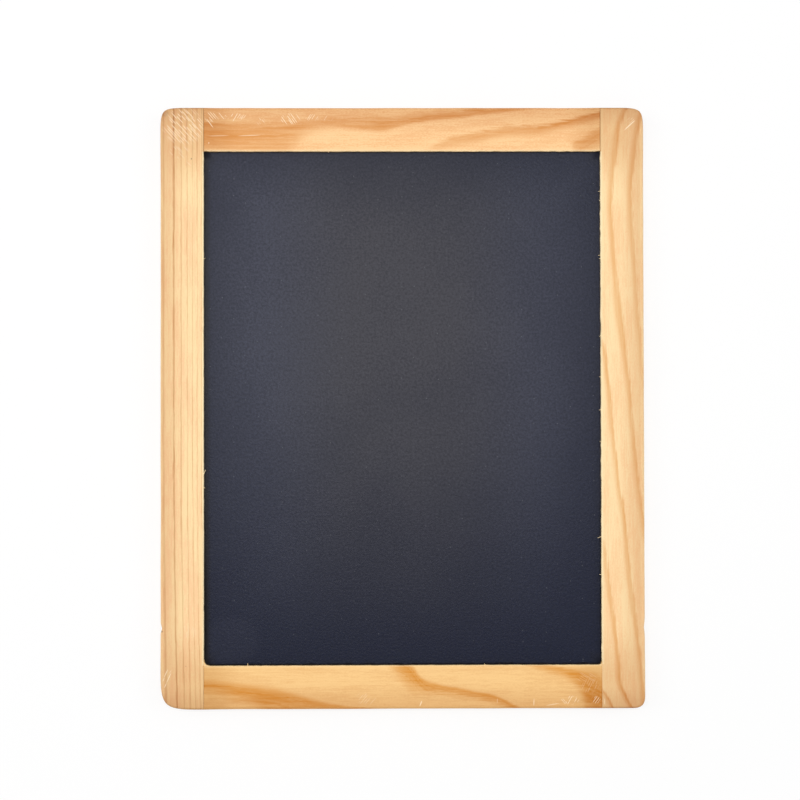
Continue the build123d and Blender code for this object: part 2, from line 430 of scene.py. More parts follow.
# The white floor and the light round the board. A softbox has its name, place, what it points at,
# width, height and power, in metres and watts
FLOOR_SIZE = 6.0
FLOOR_WHITE = (0.97, 0.97, 0.97, 1.0)
FLOOR_GLOW = 0.8
WORLD_LIGHT = 0.43
BACKGROUND_LIGHT = 1.0
SOFTBOXES = [
    ("softbox_over", (-0.11, 0.17, 1.5), (-0.11, 0.17, 0), 0.85, 0.2, 10.0),
    ("softbox_right", (1.4, 0.3, 1.3), (0, 0, 0), 1.0, 1.0, 5.0),
    ("softbox_left", (-1.4, 0.3, 1.3), (0, 0, 0), 1.0, 1.0, 6.5),
]

# The camera, in metres, degrees, and millimetres of lens and sensor
CAMERA_PLACE = (-0.00914, -0.00831, 0.79348)
CAMERA_TURN = (0.840, -0.586, -0.114)
LENS_LENGTH = 85.0
SENSOR_WIDTH = 36.0

# Sockets of a colour mix: its share, its two colours and its result
MIX_SHARE = 0
MIX_FIRST = 6
MIX_SECOND = 7
MIX_RESULT = 2


def is_stile(bar):
    return "stile" in bar


def outer_edge(bar):
    """From the board's middle to a bar's outer edge."""
    return HALF_WIDTH if is_stile(bar) else HALF_HEIGHT


def inner_edge(bar):
    """From the board's middle to a bar's inner edge."""
    return OPENING_HALF_WIDTH if is_stile(bar) else OPENING_HALF_HEIGHT


def bar_width(bar):
    return outer_edge(bar) - inner_edge(bar)


def bar_reach(bar):
    """From a bar's middle to the board's outline at its end."""
    return HALF_HEIGHT if is_stile(bar) else HALF_WIDTH


def opening_reach(bar):
    """From a bar's middle to where the slate's opening ends beside it."""
    return OPENING_HALF_HEIGHT if is_stile(bar) else OPENING_HALF_WIDTH


def lengthways(bar):
    """The direction of a bar's length."""
    return Vector((0, 1, 0)) if is_stile(bar) else Vector((1, 0, 0))


def in_bar(bar, point):
    """A point in a bar's own terms: along it, in from its outer edge, and in from the nearer face."""
    along, across = (point.y, point.x) if is_stile(bar) else (point.x, point.y)
    return along, outer_edge(bar) - abs(across), min(point.z, THICKNESS - point.z)


def linear(colour):
    """An sRGB colour as the linear one with alpha that a socket takes."""
    values = [c / 12.92 if c <= 0.04045 else ((c + 0.055) / 1.055) ** 2.4 for c in colour]
    return (*values, 1.0)


class Nodes:
    """Adds nodes to a material's tree and links them."""

    def __init__(self, name):
        self.material = bpy.data.materials.new(name)
        self.material.use_nodes = True
        self.tree = self.material.node_tree
        self.shader = self.tree.nodes["Principled BSDF"]

    def add(self, kind, inputs=None, **settings):
        node = self.tree.nodes.new(kind)
        for name, value in settings.items():
            setattr(node, name, value)
        for socket, value in (inputs or {}).items():
            self.put(node, socket, value)
        return node

    def put(self, node, socket, value):
        if isinstance(value, bpy.types.NodeSocket):
            self.tree.links.new(value, node.inputs[socket])
        else:
            node.inputs[socket].default_value = value

    def here(self):
        """The place on the board, in millimetres."""
        place = self.add("ShaderNodeTexCoord").outputs["Object"]
        return self.mapped(place, scale=(1 / MM, 1 / MM, 1 / MM))

    def mapped(self, vector, location=(0, 0, 0), rotation=(0, 0, 0), scale=(1, 1, 1)):
        inputs = {"Vector": vector, "Location": location, "Rotation": rotation, "Scale": scale}
        return self.add("ShaderNodeMapping", inputs).outputs["Vector"]

    def split(self, vector):
        return self.add("ShaderNodeSeparateXYZ", {"Vector": vector}).outputs

    def joined(self, x, y, z):
        return self.add("ShaderNodeCombineXYZ", {0: x, 1: y, 2: z}).outputs[0]

    def math(self, operation, first, second=0.0, third=0.0):
        inputs = {0: first, 1: second, 2: third}
        return self.add("ShaderNodeMath", inputs, operation=operation).outputs[0]

    def product(self, first, *others):
        for other in others:
            first = self.math("MULTIPLY", first, other)
        return first

    def swayed(self, value, pattern, amount):
        """A value moved to and fro by a pattern that runs from 0 to 1."""
        return self.math("MULTIPLY_ADD", self.math("SUBTRACT", pattern, 0.5), amount, value)

    def fade(self, value, start, end, low=0.0, high=1.0):
        """Low before start, high after end, and a smooth change between them."""
        inputs = {"Value": value, "From Min": start, "From Max": end, "To Min": low, "To Max": high}
        node = self.add("ShaderNodeMapRange", inputs, interpolation_type="SMOOTHSTEP")
        return node.outputs["Result"]

    def noise(self, vector, scale=1.0, detail=2.0, roughness=0.5):
        inputs = {"Vector": vector, "Scale": scale, "Detail": detail, "Roughness": roughness}
        return self.add("ShaderNodeTexNoise", inputs).outputs["Fac"]

    def spread(self, noise, low=0.0, high=1.0):
        """The range that a noise mostly keeps to, spread from low to high."""
        return self.fade(noise, *NOISE_RANGE, low, high)

    def mix(self, share, first, second, blend="MIX"):
        inputs = {MIX_SHARE: share, MIX_FIRST: first, MIX_SECOND: second}
        node = self.add("ShaderNodeMix", inputs, data_type="RGBA", blend_type=blend)
        return node.outputs[MIX_RESULT]

    def tinted(self, colour, share, tint):
        """A colour multiplied by a tint as far as share goes."""
        return self.mix(1.0, colour, self.mix(share, WHITE, tint), blend="MULTIPLY")

    def curve(self, value, points, reach, span):
        """A smooth curve through points, for inputs within reach and results within span."""
        share = self.math("MULTIPLY_ADD", value, 0.5 / reach, 0.5)
        node = self.add("ShaderNodeFloatCurve", {"Value": share})
        line = node.mapping.curves[0]
        placed = [(0.5 + x / (2 * reach), 0.5 + y / (2 * span)) for x, y in points]
        line.points[0].location = placed[0]
        line.points[1].location = placed[-1]
        for place in placed[1:-1]:
            line.points.new(*place)
        node.mapping.update()
        return self.math("MULTIPLY_ADD", node.outputs["Value"], 2 * span, -span)

    def coat(self, colour, roughness, gloss, height, relief, strength):
        """The finished material, with a fine relief in its surface."""
        bump = self.add("ShaderNodeBump", {"Strength": strength, "Distance": relief, "Height": height})
        self.put(self.shader, "Base Color", colour)
        self.put(self.shader, "Roughness", roughness)
        self.put(self.shader, "Specular IOR Level", gloss)
        self.put(self.shader, "Normal", bump.outputs["Normal"])
        return self.material


class BarSurface:
    """Where a point of a bar's surface lies, in millimetres, by the bar's own edges."""

    def __init__(self, nodes, bar):
        self.here = nodes.here()
        self.grain = nodes.mapped(
            self.here,
            location=(0, outer_edge(bar) / MM, THICKNESS / MM),
            rotation=(0, 0, GRAIN_SPACE[bar]["turn"]),
            scale=GRAIN_SPACE[bar]["scale"],
        )
        self.along, self.across, self.depth = nodes.split(self.grain)
        self.from_middle = nodes.math("ABSOLUTE", self.along)
        self.from_end = nodes.math("SUBTRACT", bar_reach(bar) / MM, self.from_middle)
        self.from_joint = nodes.math("SUBTRACT", opening_reach(bar) / MM, self.from_middle)
        self.from_lip = nodes.math("SUBTRACT", bar_width(bar) / MM, self.across)
        from_back = nodes.math("SUBTRACT", THICKNESS / MM, self.depth)
        self.from_face = nodes.math("MINIMUM", self.depth, from_back)


class SlateSurface:
    """Where a point of the slate lies, in millimetres, on the board and by the frame round it."""

    def __init__(self, nodes):
        self.here = nodes.here()
        self.x, self.y = nodes.split(self.here)[:2]
        self.from_middle = nodes.math("ABSOLUTE", self.x)
        self.from_left = nodes.math("ADD", self.x, OPENING_HALF_WIDTH / MM)
        from_side = nodes.math("SUBTRACT", OPENING_HALF_WIDTH / MM, self.from_middle)
        up_or_down = nodes.math("ABSOLUTE", self.y)
        from_end = nodes.math("SUBTRACT", OPENING_HALF_HEIGHT / MM, up_or_down)
        self.from_frame = nodes.math("MINIMUM", from_side, from_end)
        self.from_corner = nodes.math("MAXIMUM", from_side, from_end)


def growth_band(nodes, along, across, rows):
    """How dark a growth band is: dark from its sharp edge, fading over its width, with fine lines."""
    reach = rows[-1][0]
    edge = nodes.curve(along, [(row[0], row[1]) for row in rows], reach, BAND_SPAN)
    width = nodes.curve(along, [(row[0], row[2]) for row in rows], reach, BAND_SPAN)
    strength = nodes.curve(along, [(row[0], row[3]) for row in rows], reach, BAND_DARKEST)
    inside = nodes.math("SUBTRACT", across, edge)
    share = nodes.math("DIVIDE", inside, width)
    lines = nodes.noise(nodes.joined(nodes.math("MULTIPLY", along, BAND_LINE_STRETCH), inside, 0.0))
    return nodes.product(
        nodes.fade(share, *BAND_EDGE),
        nodes.fade(share, *BAND_FADE),
        nodes.spread(lines, *BAND_LINES),
        strength,
    )


def growth_lines(nodes, ring):
    """Growth lines at whole numbers of ring, each with a slow rise and a quick fall."""
    share = nodes.math("FRACT", ring)
    before = nodes.fade(share, 1.0 - LINE_RISE, 1.0)
    after = nodes.fade(share, 0.0, LINE_FALL, 1.0, 0.0)
    return nodes.math("MAXIMUM", before, after)


def left_stile_grain(nodes, along, across):
    """Quarter-sawn: straight fine lines that draw closer towards the slate and drift at the foot."""
    foot = nodes.math("MINIMUM", along, 0.0)
    drift = nodes.product(foot, foot, FOOT_DRIFT)
    place = nodes.math("SUBTRACT", nodes.math("SUBTRACT", across, FIRST_LINE), drift)
    gathering = nodes.math("MULTIPLY", nodes.math("ABSOLUTE", place), LINE_GATHERING)
    ring = nodes.math("MULTIPLY", place, nodes.math("ADD", gathering, LINE_CLOSENESS))
    from_strongest = nodes.math("ABSOLUTE", nodes.math("SUBTRACT", ring, STRONGEST_LINE))
    stretched = nodes.math("MULTIPLY", along, LINE_BREAK_STRETCH)
    breaks = nodes.noise(nodes.joined(stretched, ring, 0.0), detail=LINE_BREAK_DETAIL)
    return nodes.product(
        growth_lines(nodes, ring),
        nodes.fade(from_strongest, *OTHER_LINES),
        nodes.fade(nodes.math("ABSOLUTE", along), *DARKER_ENDS),
        nodes.fade(breaks, *LINE_BREAKS),
    )


def flat_sawn_grain(nodes, along, across, bands):
    """Flat-sawn: broad bands that cross the bar in long waves."""
    dark = 0.0
    for rows in bands:
        dark = nodes.math("MAXIMUM", growth_band(nodes, along, across, rows), dark)
    return dark


def grain_lines(nodes, bar, along, across):
    """How dark the late wood is on this bar, from 0 in the early wood to about 1."""
    if bar == "left_stile":
        return left_stile_grain(nodes, along, across)
    return flat_sawn_grain(nodes, along, across, GROWTH_BANDS[bar])


def round_patch(nodes, here, x, y, half_width, half_height):
    """1 at the middle of a round patch of the face and 0 outside it."""
    local = nodes.mapped(
        here,
        location=(-x / half_width, -y / half_height, 0),
        scale=(1 / half_width, 1 / half_height, 0),
    )
    distance = nodes.add("ShaderNodeVectorMath", {0: local}, operation="LENGTH").outputs["Value"]
    return nodes.fade(distance, *PATCH_EDGE)


def glint_strokes(nodes, along, across):
    """Fine strokes side by side, each with its own place in its lane and its own breaks."""
    lane = nodes.math("DIVIDE", across, GLINT_LANE)
    number = nodes.math("FLOOR", lane)
    chance = nodes.add("ShaderNodeTexWhiteNoise", {"W": number}, noise_dimensions="1D")
    middle = nodes.swayed(LANE_MIDDLE, chance.outputs["Value"], LANE_SWAY)
    off = nodes.math("ABSOLUTE", nodes.math("SUBTRACT", nodes.math("SUBTRACT", lane, number), middle))
    stroke = nodes.fade(nodes.math("MULTIPLY", off, GLINT_LANE), *GLINT_STROKE)
    stretched = nodes.math("MULTIPLY", along, GLINT_STRETCH)
    run = nodes.joined(stretched, nodes.math("MULTIPLY", number, LANE_STEP), 0.0)
    return nodes.product(stroke, nodes.fade(nodes.noise(run, detail=0.0), *GLINT_BREAKS))


def patched_glints(nodes, here, patches):
    """Painted glints: pale strokes in patches of the front face, from 0 to 1."""
    marks = 0.0
    for x, y, half_width, half_height, direction, paleness in patches:
        turned = nodes.mapped(here, rotation=(0, 0, -math.radians(direction)))
        along, across = nodes.split(turned)[:2]
        inside = round_patch(nodes, here, x, y, half_width, half_height)
        mark = nodes.product(glint_strokes(nodes, along, across), inside, paleness)
        marks = nodes.math("MAXIMUM", mark, marks)
    return marks


def streaked_glints(nodes, here, glint_streaks):
    """Single pale streaks of painted glint on the front face, from 0 to 1."""
    marks = 0.0
    for x, y, half_length, half_width, direction, paleness in glint_streaks:
        moved = nodes.mapped(here, location=(-x, -y, 0))
        turned = nodes.mapped(moved, rotation=(0, 0, -math.radians(direction)))
        mark = round_patch(nodes, turned, 0.0, 0.0, half_length, half_width)
        marks = nodes.math("MAXIMUM", nodes.product(mark, paleness), marks)
    return marks


def dark_specks(nodes, here, specks):
    """Small dark marks of the front face, from 0 to 1."""
    marks = 0.0
    for x, y, radius, darkness in specks:
        mark = round_patch(nodes, here, x, y, radius, radius)
        marks = nodes.math("MAXIMUM", nodes.product(mark, darkness), marks)
    return marks


def pine_patterns(nodes, grain):
    """The patterns in the pine by name. All but the waver are spread from 0 to 1."""
    patterns = {}
    for name, (waves, detail, roughness) in PINE_PATTERNS.items():
        noise = nodes.noise(nodes.mapped(grain, scale=waves), detail=detail, roughness=roughness)
        patterns[name] = noise if name == "waver" else nodes.spread(noise)
    return patterns


def late_wood(nodes, bar, surface, patterns):
    """How dark the late wood is, with its growth lines bent and feathered by the patterns."""
    bent = nodes.swayed(surface.across, patterns["waver"], WAVER[bar])
    bent = nodes.swayed(bent, patterns["streak"], STREAK_WAVER * WAVER[bar])
    bent = nodes.swayed(bent, patterns["fibre"], FEATHERING[bar])
    bent = nodes.swayed(bent, patterns["fleck"], FEATHERING[bar])
    bent = nodes.math("MULTIPLY_ADD", surface.depth, LINE_LEAN, bent)
    dark = grain_lines(nodes, bar, surface.along, bent)
    return nodes.product(dark, nodes.fade(patterns["streak"], *STREAK_DARKNESS))


def sanded_pine(nodes, bar, surface, patterns, dark):
    """The colour of the wood: early wood with its streaks, late wood over it, and a painted highlight by
    the inner arris.
    """
    early, streaks, late = (linear(colour) for colour in PINE_TONES[bar])
    tone = nodes.math("MULTIPLY", patterns["streak"], STREAK_TONE)
    tone = nodes.math("MULTIPLY_ADD", patterns["patch"], PATCH_TONE, tone)
    tone = nodes.math("MULTIPLY_ADD", patterns["fibre"], FIBRE_TONE, tone)
    tone = nodes.swayed(tone, patterns["fleck"], FLECK_TONE)
    tone = nodes.swayed(tone, patterns["fuzz"], FUZZ_TONE[bar])
    # Painted highlight: paler pine along the inner arris
    tone = nodes.math("ADD", tone, nodes.fade(surface.across, *INNER_ARRIS_HIGHLIGHT))
    return nodes.mix(dark, nodes.mix(nodes.fade(tone, *TONE_RANGE), early, streaks), late)


def darkened_edges_and_ends(nodes, bar, surface, colour):
    """Darkens the outer edges and the ends; on the outermost arris the darkening is painted shade, set per
    bar by where the light falls.
    """
    # Painted shade on the outermost arris, its share set per bar by where the light falls
    arris_shade = nodes.fade(surface.across, *ARRIS_SHADE_BAND, ARRIS_PAINTED_SHADE[bar], 1.0)
    edge = nodes.product(nodes.fade(surface.across, *OUTER_EDGE_DARKENING), arris_shade)
    colour = nodes.tinted(colour, edge, OUTER_DARKENING_TINT)
    if not is_stile(bar):
        return nodes.tinted(colour, nodes.fade(surface.from_middle, *RAIL_END), RAIL_END_TINT)
    across = nodes.fade(surface.across, *STILE_END_ACROSS)
    end = nodes.product(nodes.fade(surface.from_middle, *STILE_END), across)
    colour = nodes.tinted(colour, end, STILE_END_TINT)
    return nodes.tinted(colour, nodes.fade(surface.from_middle, *STILE_TIP), OUTER_DARKENING_TINT)


def stained(nodes, bar, surface, colour):
    """Stains the joint lines and darkens the cut ends."""
    if is_stile(bar):
        start = nodes.fade(surface.from_joint, *STAIN_START)
        stain = nodes.product(nodes.fade(surface.from_lip, *STAIN_WIDTH), start)
    else:
        stain = nodes.fade(surface.from_joint, *STAIN_WIDTH)
    share = nodes.fade(surface.along, *STAIN_ENDS, *STAIN_SHARE[bar])
    colour = nodes.mix(nodes.product(stain, share), colour, linear(JOINT_STAIN))
    return nodes.tinted(colour, nodes.fade(surface.from_end, *END_GRAIN), END_GRAIN_TINT)


def with_lip_highlight_and_shade(nodes, bar, surface, patterns, colour):
    """Paints a highlight on the inner lip, and paints shade on the lip's wall below it."""
    beside_slate = nodes.fade(surface.from_joint, *LIP_END)
    # Painted highlight on the inner lip, in patches
    lip = nodes.fade(surface.from_lip, *LIP_HIGHLIGHT_BAND, LIP_HIGHLIGHT_SHARE[bar], 0.0)
    lip = nodes.product(lip, beside_slate, nodes.fade(patterns["fuzz"], *LIP_HIGHLIGHT_PATCHES))
    colour = nodes.mix(lip, colour, linear(LIP_HIGHLIGHT))
    # Painted shade on the lip's wall down in the groove
    wall_shade = nodes.fade(surface.from_lip, *WALL_SHADE_BAND)
    wall_shade = nodes.product(wall_shade, nodes.fade(surface.from_face, *WALL_SHADE_DEPTH), beside_slate)
    return nodes.mix(wall_shade, colour, linear(LIP_WALL_SHADE))


def marked(nodes, bar, surface, colour):
    """Puts the dark specks and the painted glints on the front face."""
    front = nodes.fade(surface.depth, *FRONT_DEPTH)
    specks = dark_specks(nodes, surface.here, SPECKS[bar])
    colour = nodes.mix(nodes.product(specks, front), colour, linear(DARK_SPECK))
    glint_streaks = streaked_glints(nodes, surface.here, GLINT_STREAKS[bar])
    marks = nodes.math("MAXIMUM", patched_glints(nodes, surface.here, GLINT_PATCHES[bar]), glint_streaks)
    return nodes.mix(nodes.product(marks, front, MARK_COVER), colour, linear(PAINTED_GLINT))


def pine(bar):
    """Sanded pine with a thin satin varnish, its grain along the bar."""
    nodes = Nodes("pine_" + bar)
    surface = BarSurface(nodes, bar)
    patterns = pine_patterns(nodes, surface.grain)
    dark = late_wood(nodes, bar, surface, patterns)
    colour = sanded_pine(nodes, bar, surface, patterns, dark)
    colour = darkened_edges_and_ends(nodes, bar, surface, colour)
    colour = stained(nodes, bar, surface, colour)
    colour = with_lip_highlight_and_shade(nodes, bar, surface, patterns, colour)
    colour = marked(nodes, bar, surface, colour)
    roughness = nodes.fade(patterns["fibre"], *VARNISH_ROUGHNESS)
    height = nodes.math("MULTIPLY_ADD", dark, LATE_WOOD_RISE, patterns["fibre"])
    return nodes.coat(colour, roughness, VARNISH_GLOSS, height, PINE_RELIEF, PINE_RELIEF_STRENGTH)


def sheen_and_chalk_haze(nodes, surface, grit):
    """How strong the painted sheen, partly a haze of wiped chalk, is: thin beside the frame, at the foot
    and to the right.
    """
    cloud = nodes.noise(surface.here, scale=HAZE_CLOUD_WAVES, detail=HAZE_CLOUD_DETAIL)
    haze = nodes.product(
        nodes.fade(surface.from_frame, *HAZE_FROM_FRAME),
        nodes.fade(surface.y, *HAZE_UPWARDS),
        nodes.fade(surface.x, *HAZE_TO_THE_RIGHT),
        nodes.spread(cloud, *HAZE_CLOUDS),
        nodes.spread(grit, *HAZE_GRIT),
    )
    smudge = round_patch(nodes, surface.here, *SLATE_SMUDGE)
    return nodes.math("MULTIPLY_ADD", smudge, SMUDGE_HAZE, haze)


def pale_specks(nodes, here):
    """Pale specks in the slate, most of them too faint to see."""
    inputs = {"Vector": here, "Scale": SPECK_WAVES}
    cells = nodes.add("ShaderNodeTexVoronoi", inputs, voronoi_dimensions="2D")
    brightness = nodes.fade(nodes.split(cells.outputs["Color"])[0], *SPECK_BRIGHTNESS)
    return nodes.product(nodes.fade(cells.outputs["Distance"], *SPECK_SIZE), brightness)


def shaded_slate_margins(nodes, surface):
    """The margins of painted shade, dull as well: where each lies, how dark it is, and how dull."""
    ragged = nodes.noise(surface.here, scale=RIM_WAVES)
    rim = nodes.math("MULTIPLY_ADD", ragged, RIM_RAGGEDNESS, surface.from_frame)
    rim_darkness = nodes.fade(surface.y, *RIM_DARKNESS)
    left_darkness = nodes.fade(surface.y, *LEFT_MARGIN_DARKNESS)
    left_dullness = nodes.fade(surface.y, *LEFT_MARGIN_DULLNESS)
    return [
        (nodes.fade(rim, *RIM_WIDTH), rim_darkness, rim_darkness),
        (nodes.fade(surface.from_left, *LEFT_MARGIN_WIDTH), left_darkness, left_dullness),
        (nodes.fade(surface.from_corner, *CORNER_WIDTH), CORNER_DARKNESS, CORNER_DULLNESS),
    ]


def honed_slate():
    """Blue-black slate, honed matt: fine grit, pale specks, a painted sheen that is partly wiped chalk,
    and painted shade in dull margins.
    """
    nodes = Nodes("honed_slate")
    surface = SlateSurface(nodes)
    grit = nodes.noise(surface.here, detail=GRIT_DETAIL, roughness=GRIT_ROUGHNESS)
    bluer = nodes.fade(surface.from_middle, *BLUER_SIDES)
    haze = nodes.mix(bluer, linear(MIDDLE_SHEEN_AND_CHALK), linear(SIDE_SHEEN_AND_CHALK))
    # A painted sheen, partly a haze of wiped chalk, over the blue-black slate
    colour = nodes.mix(sheen_and_chalk_haze(nodes, surface, grit), linear(SLATE_BLUE), haze)
    shade = nodes.fade(grit, *GRIT_SHADE)
    colour = nodes.mix(1.0, colour, nodes.joined(shade, shade, shade), blend="MULTIPLY")
    colour = nodes.mix(pale_specks(nodes, surface.here), colour, linear(SLATE_SPECK))
    roughness = nodes.spread(grit, *SLATE_ROUGHNESS)
    for margin, darkness, dullness in shaded_slate_margins(nodes, surface):
        # Painted shade in the margins by the frame, at the left lip and in the corners
        colour = nodes.mix(nodes.product(margin, darkness), colour, linear(SLATE_MARGIN_SHADE))
        roughness = nodes.math("MAXIMUM", roughness, nodes.product(margin, dullness))
    return nodes.coat(colour, roughness, SLATE_GLOSS, grit, GRIT_RELIEF, GRIT_RELIEF_STRENGTH)


def select_only(piece):
    bpy.ops.object.select_all(action="DESELECT")
    piece.select_set(True)
    bpy.context.view_layer.objects.active = piece


def select_edges(piece, wanted):
    """Selects, in edit mode, the edges whose two ends are both wanted."""
    mesh = bmesh.from_edit_mesh(piece.data)
    for edge in mesh.edges:
        edge.select_set(all(wanted(vertex.co) for vertex in edge.verts))
    bmesh.update_edit_mesh(piece.data)


def copied_bar(bar):
    """A copy of a bar with its triangles merged into whole faces."""
    piece = bpy.data.objects.new("worked_" + bar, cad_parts[bar].data.copy())
    bpy.context.collection.objects.link(piece)
    select_only(piece)
    bpy.ops.mesh.customdata_custom_splitnormals_clear()
    bpy.ops.object.mode_set(mode="EDIT")
    bpy.ops.mesh.select_mode(type="EDGE")
    bpy.ops.mesh.select_all(action="SELECT")
    bpy.ops.mesh.remove_doubles(threshold=ONE_VERTEX)
    bpy.ops.mesh.dissolve_limited(angle_limit=FLAT_ANGLE)
    bpy.ops.object.mode_set(mode="OBJECT")
    return piece


def cut_stations(piece, bar):
    """Cuts the plain length of a bar, between its joints, into short quads that can be worked."""
    reach = opening_reach(bar) - JOINT_MARGIN
    direction = lengthways(bar)
    bpy.ops.object.mode_set(mode="EDIT")
    for end in (-1, 1):
        bpy.ops.mesh.select_all(action="SELECT")
        bpy.ops.mesh.bisect(plane_co=end * reach * direction, plane_no=direction)
    mesh = bmesh.from_edit_mesh(piece.data)
    for edge in mesh.edges:
        first, second = (vertex.co.dot(direction) for vertex in edge.verts)
        from_end_to_end = abs(first - second) > 2 * reach - NEAR
        edge.select_set(from_end_to_end and max(abs(first), abs(second)) < reach + NEAR)
    bmesh.update_edit_mesh(piece.data)
    bpy.ops.mesh.subdivide(number_cuts=STATIONS)
    bpy.ops.object.mode_set(mode="OBJECT")
    return reach


def roughen(piece, name, weights, direction, strength, length, level):
    """Moves the weighted part of a piece along one direction by a cloudy pattern."""
    group = piece.vertex_groups.new(name=name)
    for index, weight in weights.items():
        group.add([index], weight, "REPLACE")
    pattern = bpy.data.textures.new(piece.name + "_" + name, "CLOUDS")
    pattern.noise_scale = length
    pattern.noise_depth = 1
    select_only(piece)
    modifier = piece.modifiers.new(name, "DISPLACE")
    modifier.texture = pattern
    modifier.texture_coords = "LOCAL"
    modifier.vertex_group = name
    modifier.direction = "X" if direction.x else "Y"
    modifier.strength = strength * sum(direction)
    modifier.mid_level = level
    bpy.ops.object.modifier_apply(modifier=name)
    piece.vertex_groups.remove(piece.vertex_groups[name])


def cut_nick(piece, bar, place, half_length, depth):
    """Presses the outer edge in at one place, with the edge beside it following."""
    bpy.ops.object.mode_set(mode="EDIT")
    bpy.ops.mesh.select_mode(type="VERT")
    mesh = bmesh.from_edit_mesh(piece.data)
    for vertex in mesh.verts:
        along, across = in_bar(bar, vertex.co)[:2]
        vertex.select_set(across < EDGE_BAND and abs(along - place) < half_length / 2)
    bmesh.update_edit_mesh(piece.data)
    bpy.ops.transform.translate(
        value=depth * INWARD[bar],
        use_proportional_edit=True,
        proportional_edit_falloff="SMOOTH",
        proportional_size=half_length,
    )
    bpy.ops.object.mode_set(mode="OBJECT")


def worked_bar(bar):
    """A bar gone over by hand: its outer edge wanders a little and its inner lip is rough."""
    piece = copied_bar(bar)
    reach = cut_stations(piece, bar)
    edge_weights = {}
    lip_weights = {}
    for vertex in piece.data.vertices:
        along, across, from_face = in_bar(bar, vertex.co)
        from_joint = max(0.0, reach - abs(along))
        if from_joint and across < EDGE_BAND:
            edge_weights[vertex.index] = min(1.0, from_joint / EDGE_RUN_IN)
        if from_joint and across > bar_width(bar) - LIP_BAND and from_face < LIP_WALL:
            lip_weights[vertex.index] = min(1.0, from_joint / LIP_RUN_IN)
    wander = (EDGE_WANDER, EDGE_WANDER_LENGTH, EDGE_WANDER_LEVEL)
    roughen(piece, "wander", edge_weights, INWARD[bar], *wander)
    roughness = (LIP_ROUGHNESS[bar], LIP_ROUGHNESS_LENGTH, LIP_LEVEL[bar])
    roughen(piece, "rough_lip", lip_weights, INWARD[bar], *roughness)
    for place, half_length, depth in NICKS[bar]:
        cut_nick(piece, bar, place * MM, half_length * MM, depth * MM)
    select_only(piece)
    bpy.ops.object.shade_smooth_by_angle(angle=SOFT_EDGE_ANGLE)
    piece.modifiers.new("even_shading", "WEIGHTED_NORMAL").keep_sharp = True
    bpy.ops.object.modifier_apply(modifier="even_shading")
    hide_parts(bar)
    return piece


def raised_fibre(bar, place, length, lean):
    """One fibre torn up along a lip, rooted in the wood and thinner towards its tip."""
    forward = Matrix.Rotation(math.radians(lean), 3, "Z") @ INWARD[bar]
    root = place * lengthways(bar) - inner_edge(bar) * INWARD[bar] + Vector((0, 0, FIBRE_HEIGHT))
    bpy.ops.object.select_all(action="DESELECT")
    bpy.ops.mesh.primitive_cylinder_add(
        vertices=FIBRE_SIDES,
        radius=FIBRE_THICKNESS / 2,
        depth=FIBRE_ROOT,
        rotation=forward.to_track_quat("Z", "Y").to_euler(),
    )
    bpy.ops.object.transform_apply(location=False, rotation=True, scale=False)
    fibre = bpy.context.object
    bpy.ops.object.mode_set(mode="EDIT")
    bpy.ops.mesh.select_mode(type="FACE")
    mesh = bmesh.from_edit_mesh(fibre.data)
    for face in mesh.faces:
        face.select_set(face.normal.dot(forward) > FACING)
    bmesh.update_edit_mesh(fibre.data)
    for step in range(FIBRE_STEPS):
        droop = Vector((0, 0, -step * FIBRE_DROOP * length))
        onward = forward * length / FIBRE_STEPS + droop
        bpy.ops.mesh.extrude_region_move(TRANSFORM_OT_translate={"value": onward})
        bpy.ops.transform.resize(value=(FIBRE_TAPER, FIBRE_TAPER, FIBRE_TAPER))
    bpy.ops.mesh.select_all(action="SELECT")
    bpy.ops.transform.translate(value=root)
    bpy.ops.object.mode_set(mode="OBJECT")
    return fibre


def lip_fibres(bar):
    """All the fibres torn up along one bar's lip."""
    fibres = [
        raised_fibre(bar, place * MM, length * MM, lean)
        for owner, place, length, lean in FIBRES
        if owner == bar
    ]
    select_only(fibres[0])
    for fibre in fibres[1:]:
        fibre.select_set(True)
    if len(fibres) > 1:
        bpy.ops.object.join()
    fibres[0].name = "lip_fibres_" + bar
    bpy.ops.object.shade_smooth_by_angle(angle=SOFT_EDGE_ANGLE)
    return fibres[0]


def corner_web(side, size):
    """A web of wood left in a lower inner corner, hollow on its free side."""
    corner = Vector((side * OPENING_HALF_WIDTH, -OPENING_HALF_HEIGHT, 0))
    out = Vector((-side, 1, 0))
    free = corner + out * size
    middle = corner + out * (size - WEB_ROOT) / 2 + Vector((0, 0, (SLATE_FACE + WEB_TOP) / 2))
    bpy.ops.object.select_all(action="DESELECT")
    bpy.ops.mesh.primitive_cube_add(size=1.0)
    web = bpy.context.object
    web.name = "corner_web_left" if side < 0 else "corner_web_right"
    bpy.ops.object.mode_set(mode="EDIT")
    bpy.ops.mesh.select_mode(type="EDGE")
    bpy.ops.mesh.select_all(action="SELECT")
    bpy.ops.transform.resize(value=(size + WEB_ROOT, size + WEB_ROOT, WEB_TOP - SLATE_FACE))
    bpy.ops.transform.translate(value=middle)
    select_edges(web, lambda point: (point.xy - free.xy).length < NEAR)
    bpy.ops.mesh.bevel(offset=WEB_HOLLOW * size, segments=WEB_HOLLOW_STEPS, profile=WEB_HOLLOW_PROFILE)
    start = WEB_FREE_SIDE * size
    select_edges(web, lambda point: point.z > WEB_TOP - NEAR and (point - corner).dot(out) > start)
    bpy.ops.mesh.bevel(offset=WEB_ARRIS, segments=WEB_ARRIS_STEPS)
    bpy.ops.object.mode_set(mode="OBJECT")
    bpy.ops.object.shade_smooth_by_angle(angle=SOFT_EDGE_ANGLE)
    return web


